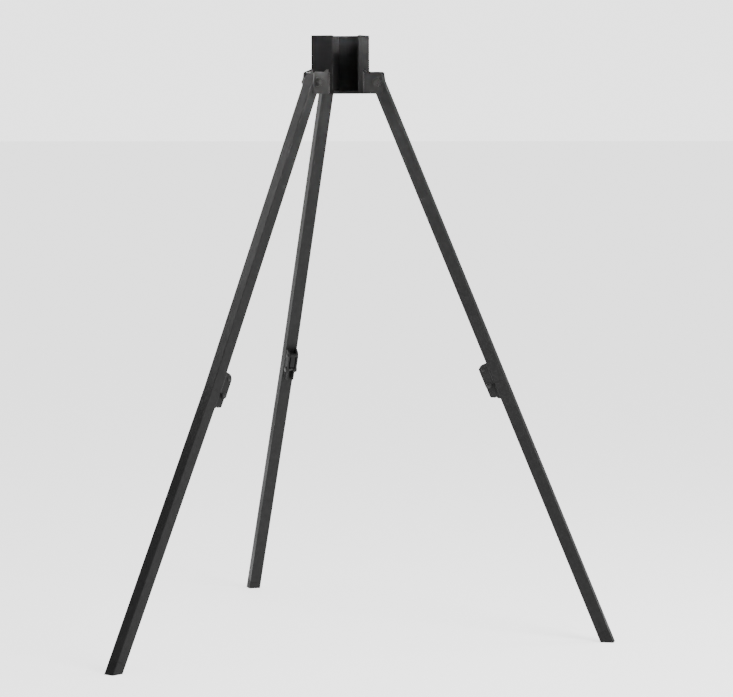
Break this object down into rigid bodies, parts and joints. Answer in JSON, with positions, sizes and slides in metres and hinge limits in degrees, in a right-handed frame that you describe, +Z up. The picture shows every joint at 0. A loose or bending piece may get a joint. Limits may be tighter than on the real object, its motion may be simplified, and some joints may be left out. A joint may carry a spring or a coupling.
{
  "type": "folding tripod stand",
  "caption": "Free-standing black steel tripod with a square open socket head and square tube legs that fold at the head and at latched knees.",
  "frame": {"origin": "centre of the socket's floor, on the socket's axis", "axes": "+Z up along the socket's axis, +X along the right leg's plane, -Y towards the socket's open front; the left and rear legs stand 120 degrees to each side of +X"},
  "size_m": [1.0122, 1.2943, 1.3514],
  "materials": {
    "head_coat": "black satin powder coat",
    "leg_coat": "black satin powder coat",
    "lever_coat": "black satin coat",
    "dark_steel": "black oxide, semi-matt",
    "bush_plastic": "black nylon",
    "plug_plastic": "black moulded plastic",
    "foot_rubber": "black moulded rubber"
  },
  "bodies": {
    "hub": {"hub_base": "head_coat", "socket_box": "head_coat", "front_plate": "head_coat", "clevis_right": "leg_coat", "clevis_left": "leg_coat", "clevis_rear": "leg_coat", "pivot_bolts": "dark_steel", "pivot_nuts": "dark_steel", "pivot_washers": "dark_steel"},
    "upper_leg_right": {"upper_tube_right": "leg_coat", "pivot_bush_right": "bush_plastic", "top_plug_right": "plug_plastic", "upper_plates_right": "leg_coat", "knee_pin_right": "dark_steel", "latch_pin_right": "dark_steel"},
    "lower_leg_right": {"lower_tube_right": "leg_coat", "lower_fins_right": "leg_coat", "foot_cap_right": "foot_rubber"},
    "latch_right": {"latch_lever_right": "lever_coat"},
    "upper_leg_left": {"upper_tube_left": "leg_coat", "pivot_bush_left": "bush_plastic", "top_plug_left": "plug_plastic", "upper_plates_left": "leg_coat", "knee_pin_left": "dark_steel", "latch_pin_left": "dark_steel"},
    "lower_leg_left": {"lower_tube_left": "leg_coat", "lower_fins_left": "leg_coat", "foot_cap_left": "foot_rubber"},
    "latch_left": {"latch_lever_left": "lever_coat"},
    "upper_leg_rear": {"upper_tube_rear": "leg_coat", "pivot_bush_rear": "bush_plastic", "top_plug_rear": "plug_plastic", "upper_plates_rear": "leg_coat", "knee_pin_rear": "dark_steel", "latch_pin_rear": "dark_steel"},
    "lower_leg_rear": {"lower_tube_rear": "leg_coat", "lower_fins_rear": "leg_coat", "foot_cap_rear": "foot_rubber"},
    "latch_rear": {"latch_lever_rear": "lever_coat"}
  },
  "joints": [
    {"name": "hip_right", "type": "hinge", "parent": "hub", "child": "upper_leg_right", "pos_m": [0.0896, 0, 0.0212], "axis": [0, 1, 0], "range_deg": [0, 22.61]},
    {"name": "knee_right", "type": "hinge", "parent": "upper_leg_right", "child": "lower_leg_right", "pos_m": [0.34179, 0, -0.65588], "axis": [0, 1, 0], "range_deg": [0, 180]},
    {"name": "latch_rock_right", "type": "hinge", "parent": "upper_leg_right", "child": "latch_right", "pos_m": [0.32849, 0, -0.62134], "axis": [0, 1, 0], "range_deg": [0, 12], "stiffness_Nm_per_rad": 0.6, "springref_deg": -6.88},
    {"name": "hip_left", "type": "hinge", "parent": "hub", "child": "upper_leg_left", "pos_m": [-0.0448, -0.0776, 0.0212], "axis": [0.866, -0.5, 0], "range_deg": [0, 25.69]},
    {"name": "knee_left", "type": "hinge", "parent": "upper_leg_left", "child": "lower_leg_left", "pos_m": [-0.19259, -0.33357, -0.65667], "axis": [0.866, -0.5, 0], "range_deg": [0, 181.64]},
    {"name": "latch_rock_left", "type": "hinge", "parent": "upper_leg_left", "child": "latch_left", "pos_m": [-0.18502, -0.32046, -0.6229], "axis": [0.866, -0.5, 0], "range_deg": [0, 12], "stiffness_Nm_per_rad": 0.6, "springref_deg": -6.88},
    {"name": "hip_rear", "type": "hinge", "parent": "hub", "child": "upper_leg_rear", "pos_m": [-0.0448, 0.0776, 0.0212], "axis": [-0.866, -0.5, 0], "range_deg": [0, 26.74]},
    {"name": "knee_rear", "type": "hinge", "parent": "upper_leg_rear", "child": "lower_leg_rear", "pos_m": [-0.1999, 0.34624, -0.65561], "axis": [-0.866, -0.5, 0], "range_deg": [0, 181.66]},
    {"name": "latch_rock_rear", "type": "hinge", "parent": "upper_leg_rear", "child": "latch_rear", "pos_m": [-0.19202, 0.33259, -0.62212], "axis": [-0.866, -0.5, 0], "range_deg": [0, 12], "stiffness_Nm_per_rad": 0.6, "springref_deg": -6.88}
  ]
}
